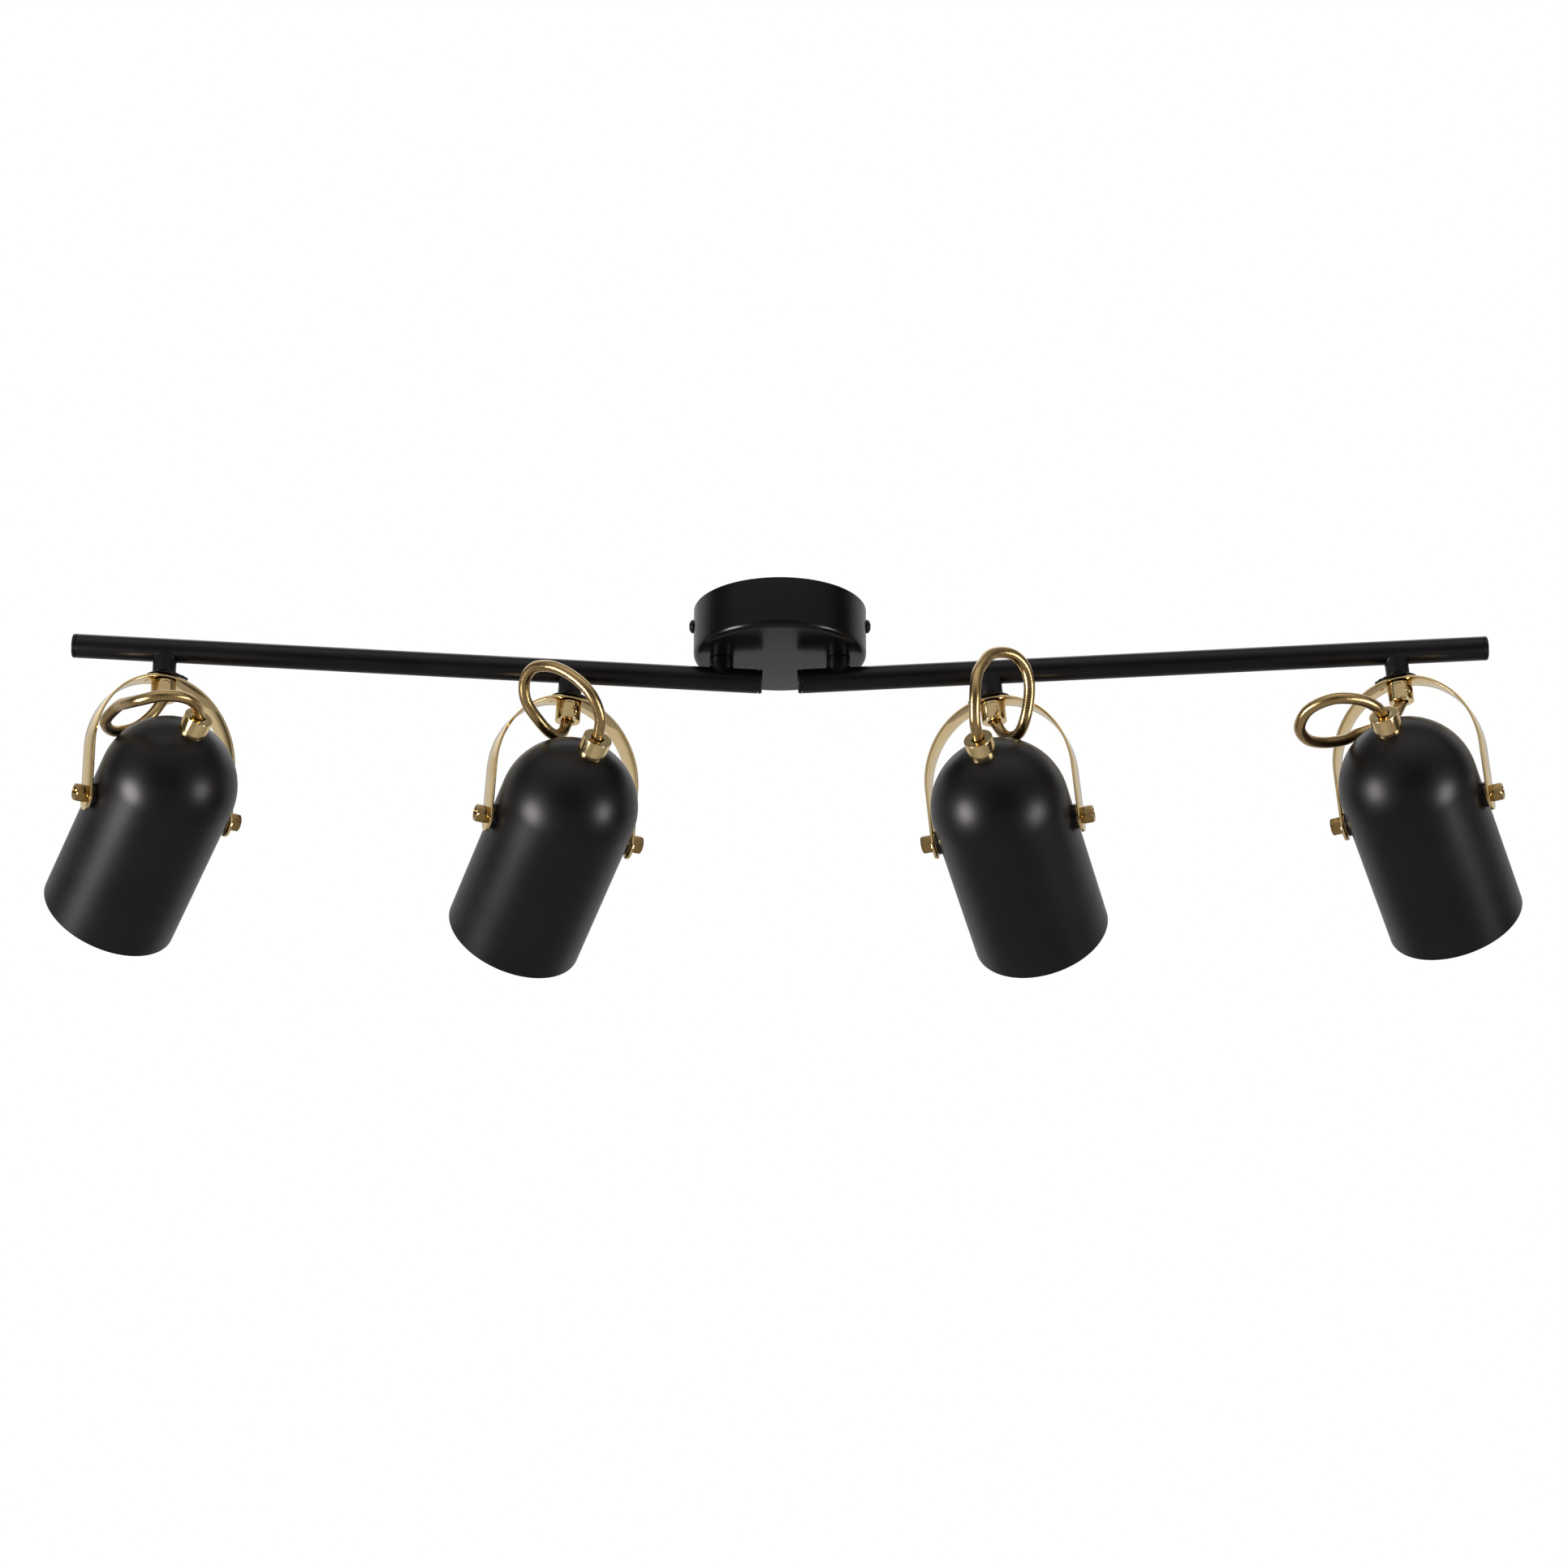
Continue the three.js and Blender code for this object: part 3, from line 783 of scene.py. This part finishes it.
def canopy():
    row = Matrix.Scale(MM, 4)
    inner = CANOPY_R - CANOPY_WALL
    shell = spun(rounded([
        (0, -CANOPY_H), (CANOPY_R, -CANOPY_H, CANOPY_CORNER), (CANOPY_R, 0, 0.2), (inner, 0, 0.2),
        (inner, CANOPY_WALL - CANOPY_H, CANOPY_CORNER - CANOPY_WALL), (0, CANOPY_WALL - CANOPY_H),
    ], 8), 160)
    holes = []
    for name in ("left", "right"):
        stem_x = JOINTS[f"{name}_arm_swing"]["pos_m"][0] / MM
        hole = rod(STEM_R + PLAY, -CANOPY_H - 1, -CANOPY_H + 3, bevel=0)
        hole.transform(Matrix.Translation((stem_x, 0, 0)))
        holes.append(hole)
    put(carved(shell, *holes), "canopy_cup", row, "canopy_black", "canopy", "canopy_shell")
    for side, name in ((-1, "left"), (1, "right")):
        place = facing(row, (side * (CANOPY_R + 0.05), 0, SIDE_SCREW_Z), side * X)
        put(cross_screw(**SIDE_SCREW), f"canopy_side_screw_{name}", place,
            "black_powder_coat", "canopy", f"canopy_screw_{name}")
    put(bracket(), "ceiling_strap", row, "zinc_plated_steel", "canopy", "ceiling_bracket")
    earth = facing(row, (EARTH_SCREW_X, 0, -BRACKET_T), -Z)
    put(cross_screw(**EARTH_SCREW), "earth_screw", earth, "polished_brass", "canopy")


def bracket():
    """The strap that is screwed to the ceiling, with its ends turned down for the side screws."""
    half = BRACKET_T / 2
    line = rounded([
        (-BRACKET_X, -BRACKET_DROP), (-BRACKET_X, -half, BRACKET_BEND),
        (BRACKET_X, -half, BRACKET_BEND), (BRACKET_X, -BRACKET_DROP),
    ], 6)
    strap = ribbon(line, [BRACKET_W / 2] * len(line), BRACKET_T)
    holes = [rod(WIRE_HOLE_R, -4, 2, bevel=0)]
    for way in (X, -X):
        hole = rod(SIDE_SCREW_HOLE_R, BRACKET_X - 5, BRACKET_X + 5, bevel=0)
        holes.append(turned_to(hole, (0, 0, SIDE_SCREW_Z), way))
    stretch = Matrix.Diagonal((BRACKET_SLOT_STRETCH, 1, 1, 1))
    for x in (-BRACKET_SLOT_X, BRACKET_SLOT_X):
        hole = rod(BRACKET_SLOT_R, -4, 2, bevel=0)
        hole.transform(Matrix.Translation((x, 0, 0)) @ stretch)
        holes.append(hole)
    return carved(strap, *holes)


# --- Arms -------------------------------------------------------------------------------------


def saddle(bm, tube, up):
    """Moves what is drawn about z 0 onto the tube's surface, above or below its centre line."""
    near = 2
    for vert in bm.verts:
        if abs(vert.co.z) < near:
            fall = math.sqrt(max(TUBE_R**2 - vert.co.y**2, 0.0))
            vert.co.z += (vert.co.x * tube.z + up * fall) / tube.x
    return bm


def arm(name):
    body = f"{name}_arm"
    post = Vector(JOINTS[f"{name}_arm_swing"]["pos_m"])
    along = arm_direction(name)
    place = axes(post, Y, along)
    low, high = ARM_INNER + CAP_T + CAP_SEAM, ARM_OUTER - CAP_T - CAP_SEAM
    inner = TUBE_R - TUBE_WALL
    plug = inner - PLAY
    pipe = spun(rounded([
        (inner, low), (TUBE_R, low, 0.2), (TUBE_R, high, 0.2), (inner, high),
    ]), 72, closed=True)
    put(pipe, f"{name}_tube", place, "black_powder_coat", body, f"{name}_arm_tube")
    for end, at, way in (("inner", ARM_INNER, Z), ("outer", ARM_OUTER, -Z)):
        cap = spun(rounded([
            (0, 0), (TUBE_R, 0, 0.9), (TUBE_R, CAP_T, 0.2), (plug, CAP_T),
            (plug, CAP_T + CAP_PLUG_DEPTH, 0.6), (0, CAP_T + CAP_PLUG_DEPTH),
        ]), 72)
        put(cap, f"{name}_cap_{end}", facing(place, (0, 0, at), way),
            "black_powder_coat", body, f"{name}_arm_cap_{end}")
    upright = axes(post, X, Z)
    tube = Vector((abs(along.x), 0, along.z if along.x > 0 else -along.z))
    put(collar(tube), f"{name}_collar", upright, "black_powder_coat", body, f"{name}_arm_collar")
    nut = hex_nut(LOCK_NUT_ACROSS, STEM_R, LOCK_NUT_Z[0] - TUBE_Z, LOCK_NUT_Z[1] - TUBE_Z)
    put(nut, f"{name}_lock_nut", upright, "zinc_plated_steel", body)


def collar(tube):
    """The sleeve between canopy and tube, with the hollow stem that goes up through the canopy."""
    top = -CANOPY_H - TUBE_Z - COLLAR_SEAM
    stem_top = STEM_TOP_Z - TUBE_Z
    sleeve = spun(rounded([
        (STEM_BORE_R, -0.6), (COLLAR_R, -0.6), (COLLAR_R + COLLAR_BEAD, 0.2),
        (COLLAR_R, 1.0, 0.3), (COLLAR_R, top, 0.35), (STEM_R, top), (STEM_R, stem_top, 0.4),
        (STEM_BORE_R, stem_top, 0.3),
    ]), 64, closed=True)
    return saddle(sleeve, tube, 1)


# --- Swivel fittings --------------------------------------------------------------------------


def fitting(lamp):
    name = f"lamp_{lamp}"
    arm_name = arm_of(lamp)
    place = fitting_frame(lamp)
    along = place.inverted().to_3x3() @ arm_direction(arm_name)
    along.normalize()
    tube = along if along.x > 0 else -along
    body = f"{arm_name}_arm"
    put(stub(tube), f"{name}_swivel_stub", place, "black_powder_coat", body, f"{name}_stub")
    inward = 1 if arm_name == "left" else -1
    put(stop_washer(inward), f"{name}_flared_washer", place, "black_powder_coat", body,
        f"{name}_stop_washer")


def stub(tube):
    """The short post welded under the tube, with the neck that carries yoke and grip."""
    post = spun(rounded([
        (NECK_BORE_R, 0.6), (STUB_R, 0.6), (STUB_R + STUB_BEAD, -0.2), (STUB_R, -1.0, 0.3),
        (STUB_R, STUB_BOTTOM, 0.3), (NECK_R, STUB_BOTTOM), (NECK_R, NECK_BOTTOM, 0.3),
        (NECK_BORE_R, NECK_BOTTOM, 0.3),
    ]), 64, closed=True)
    return saddle(post, tube, -1)


def stop_washer(inward):
    """A flared washer with one curled tab that points towards the canopy."""
    bore = NECK_R + PLAY
    flare = spun(rounded([
        (bore, WASHER_TOP), (STUB_R + 0.3, WASHER_TOP, 0.3), (WASHER_R - 2.4, WASHER_FLARE_Z, 0.8),
        (WASHER_R, WASHER_BOTTOM + 0.35, 0.2), (WASHER_R - 0.25, WASHER_BOTTOM, 0.1),
        (WASHER_R - 3, WASHER_BOTTOM + 0.25), (bore, WASHER_BOTTOM + 0.25),
    ]), 64, closed=True)
    line = rounded(TAB_LINE, 6)
    halves = [TAB_W / 2 * (1 - TAB_TAPER * i / len(line)) for i in range(len(line))]
    tab = ribbon(line, halves, TAB_T, 0.2)
    tab.transform(Matrix.Scale(inward, 4, X))
    if inward < 0:
        bmesh.ops.reverse_faces(tab, faces=tab.faces)
    return joined(flare, tab)


# --- Yoke and cable grip ----------------------------------------------------------------------


def yoke_strip():
    """A flat strip bent into an arch with straight legs and round ends, drilled for its bolts."""
    inset = YOKE_T / 2
    half_width, height = YOKE_HALF - inset, YOKE_ARCH - inset
    spring = YOKE_TOP - YOKE_ARCH
    steps = 96
    turns = [math.pi * i / steps for i in range(1, steps)]
    arch = [(half_width * math.cos(a), spring + height * math.sin(a)) for a in turns]
    half = YOKE_W / 2
    foot = PIVOT_Z - YOKE_END_DROP
    leg = [(foot - half * math.sin(math.radians(a)), half * math.cos(math.radians(a)))
           for a in range(86, -1, -6)]
    leg += [(foot + (spring - foot) * k / 6, half) for k in range(1, 7)]
    line = [(half_width, z) for z, _ in leg] + arch + [(-half_width, z) for z, _ in reversed(leg)]
    halves = [w for _, w in leg] + [half] * len(arch) + [w for _, w in reversed(leg)]
    pip = rod(PIP_R, YOKE_TOP - 8, YOKE_TOP + 1, 24, 0)
    pip.transform(Matrix.Translation((PIP_X, 0, 0)))
    return carved(
        ribbon(line, halves, YOKE_T, 0.22),
        pip,
        rod(NECK_R + PLAY, YOKE_TOP - 4, YOKE_TOP + 2, bevel=0),
        turned_to(rod(BOLT_R + PLAY, -YOKE_HALF - 1, YOKE_HALF + 1, bevel=0), (0, 0, PIVOT_Z), X),
    )


def cable_grip():
    """The brass sleeve under the arch, with a flat milled in front by a round-nosed cutter."""
    step_z = NECK_BOTTOM - 0.3
    body = spun(rounded([
        (CORD_BORE_R, GRIP_BOTTOM, 0.3), (GRIP_R, GRIP_BOTTOM, 0.35), (GRIP_R, GRIP_TOP, 0.35),
        (NECK_R + SNUG, GRIP_TOP), (NECK_R + SNUG, step_z), (CORD_BORE_R, step_z),
    ]), 72, closed=True)
    half = GRIP_FLAT_HALF
    low, high = GRIP_FLAT_SPAN
    arch_z = high - half
    return carved(
        body,
        block((-half, GRIP_FLAT_Y - 3, low), (half, GRIP_FLAT_Y, arch_z), 0),
        turned_to(rod(half, 0, 3, bevel=0), (0, GRIP_FLAT_Y, arch_z), -Y),
    )


def yoke(lamp, strip, grip):
    name = f"lamp_{lamp}"
    body = f"yoke_{lamp}"
    place = yoke_frame(lamp)
    put(strip.copy(), f"{name}_bent_yoke", place, "polished_brass", body, f"{name}_yoke")
    turned = place @ Matrix.Rotation(math.radians(GRIP_TURNS[lamp]), 4, "Z")
    put(grip.copy(), f"{name}_grip_sleeve", turned, "polished_brass", body, f"{name}_cable_grip")
    out = Matrix.Rotation(math.radians(GRIP_SCREW_TURNS[lamp]), 3, "Z") @ -Y
    screw = facing(turned, Vector((0, 0, GRIP_SCREW_Z)) + (GRIP_R - 0.35) * out, out)
    put(cross_screw(**GRIP_SCREW), f"{name}_grip_screw", screw, "bolt_brass", body)


# --- Head -------------------------------------------------------------------------------------


def dome(radius, start, stop, steps):
    angles = [math.radians(start + (stop - start) * i / steps) for i in range(steps + 1)]
    return [(radius * math.cos(a), DOME_Z + radius * math.sin(a)) for a in angles]


def shade():
    """A spun cup with a hemispherical back and a plain rim."""
    inner = SHADE_R - SHADE_WALL
    wall = [(r, RIM_Z + d) for r, d in ((inner, 40), (inner, 1))]
    rim = rounded([wall[-1], (inner, RIM_Z, 0.4), (SHADE_R, RIM_Z, 0.4), (SHADE_R, RIM_Z + 1)], 4)
    outer = [(SHADE_R, RIM_Z + 30), (SHADE_R, RIM_Z + 60)]
    outline = dome(inner, 90, 0, 28) + wall[:1] + rim + outer + dome(SHADE_R, 0, 90, 32)
    outline[0] = (0, outline[0][1])
    outline[-1] = (0, outline[-1][1])
    return spun(outline, 160)


def bushing():
    """The brass cable entry on top of the shade, seated on the dome."""
    def on_dome(r):
        return DOME_Z + math.sqrt((SHADE_R + 0.05) ** 2 - r**2)

    return spun(rounded([
        (CORD_BORE_R, BUSHING_STEM_END), (BUSHING_STEM_R, BUSHING_STEM_END, 0.2),
        (BUSHING_STEM_R, on_dome(BUSHING_STEM_R)), (BUSHING_R, on_dome(BUSHING_R)),
        (BUSHING_R, BUSHING_TOP, 0.35), (CORD_BORE_R, BUSHING_TOP, 0.35),
    ]), 72, closed=True)


def lampholder():
    """A ceramic two-pin lampholder with its pin holes in a recess."""
    recess = HOLDER_FRONT + HOLDER_RECESS_DEPTH
    body = spun(rounded([
        (0, recess), (HOLDER_RECESS_R, recess, 0.4), (HOLDER_RECESS_R, HOLDER_FRONT, 0.5),
        (HOLDER_R, HOLDER_FRONT, 0.6), (HOLDER_R, HOLDER_SHOULDER, 1.5),
        (HOLDER_NECK_R, HOLDER_TOP, 1.0), (0, HOLDER_TOP),
    ]), 64)
    half = PIN_SLOT_HALF
    cutters = []
    for side, turn in ((-1, math.pi), (1, 0)):
        wide = rod(PIN_HOLE_R, recess - 1, recess + PIN_HOLE_DEPTH, 32, 0)
        wide.transform(Matrix.Translation((PIN_X * side, 0, 0)))
        channel = block(
            (PIN_X - half, -half, -1), (PIN_X + half, PIN_SLOT_END, PIN_HOLE_DEPTH), 0,
        )
        channel.transform(Matrix.Translation((0, 0, recess)) @ Matrix.Rotation(turn, 4, "Z"))
        cutters += [wide, channel]
    return carved(body, *cutters)


def pivot_bolt():
    """A long hexagon head with chamfered corners and a dished end, drawn along Z from the pivot."""
    low, high = BOLT_HEAD
    seat = low - 0.2
    corner = past_corner(BOLT_ACROSS_FLATS)
    dish = high - BOLT_DISH_DEPTH
    return spun(rounded([
        (0, BOLT_END), (BOLT_R, BOLT_END, 0.4), (BOLT_R, seat), (BOLT_SEAT_R, seat),
        (corner, low + 0.5), (corner, high - 0.8), (BOLT_CROWN_R, high, 0.15),
        (BOLT_DISH_R, high, 0.3), (BOLT_DISH_FLOOR_R, dish, 0.3), (0, dish),
    ]), 72, across=BOLT_ACROSS_FLATS)


def pivot_spacer():
    """The black ring between shade and yoke."""
    bore = BOLT_R + SNUG
    low, high = SPACER_SPAN
    return spun(rounded([
        (bore, low), (SPACER_R, low), (SPACER_R, high, 0.4), (bore, high),
    ]), 48, closed=True)


def pivot_washer():
    """The brass ring between spacer and yoke."""
    bore = BOLT_R + SNUG
    low, high = PIVOT_WASHER_SPAN
    return spun(rounded([
        (bore, low), (PIVOT_WASHER_R, low, 0.2), (PIVOT_WASHER_R, high, 0.2), (bore, high),
    ]), 48, closed=True)


def head(lamp, holder):
    name = f"lamp_{lamp}"
    body = f"head_{lamp}"
    place = head_frame(lamp)
    put(shade(), f"{name}_spun_shade", place, "shade_black", body, f"{name}_shade")
    put(bushing(), f"{name}_entry_bushing", place, "polished_brass", body, f"{name}_cord_bushing")
    put(holder.copy(), f"{name}_ceramic_holder", place, "white_ceramic", body, f"{name}_lampholder")
    for side, way in (("left", -X), ("right", X)):
        out = facing(place, (0, 0, 0), way)
        put(pivot_bolt(), f"{name}_hex_bolt_{side}", out, "bolt_brass", body,
            f"{name}_bolt_{side}")
        put(pivot_spacer(), f"{name}_pivot_spacer_{side}", out, "black_powder_coat", body,
            f"{name}_spacer_{side}")
        put(pivot_washer(), f"{name}_brass_washer_{side}", out, "bolt_brass", body)
        nut = hex_nut(INNER_NUT_ACROSS, BOLT_R, *INNER_NUT_SPAN)
        put(nut, f"{name}_inner_nut_{side}", out, "zinc_plated_steel", body)


# The materials by look name; some looks are variants of another
LOOKS = {
    "black_powder_coat": powder_coat("black_powder_coat", 0.30, 0.36),
    "canopy_black": powder_coat("canopy_powder_coat", 0.20, 0.26),
    "shade_black": powder_coat("shade_powder_coat", 0.34, 0.39, spun=True),
    "polished_brass": brass("polished_brass", (0.80, 0.58, 0.27), (0.87, 0.67, 0.36)),
    "bolt_brass": brass("dark_brass", (0.30, 0.19, 0.07), (0.40, 0.27, 0.11)),
    "brass_armoured_cord": armour(),
    "zinc_plated_steel": zinc(),
    "white_ceramic": ceramic(),
}

camera()
for number in LAMPS:
    armoured_cord(number)
studio()
floor()
canopy()
arm("left")
arm("right")
strip_shape, grip_shape, holder_shape = yoke_strip(), cable_grip(), lampholder()
for number in LAMPS:
    fitting(number)
    yoke(number, strip_shape, grip_shape)
    head(number, holder_shape)
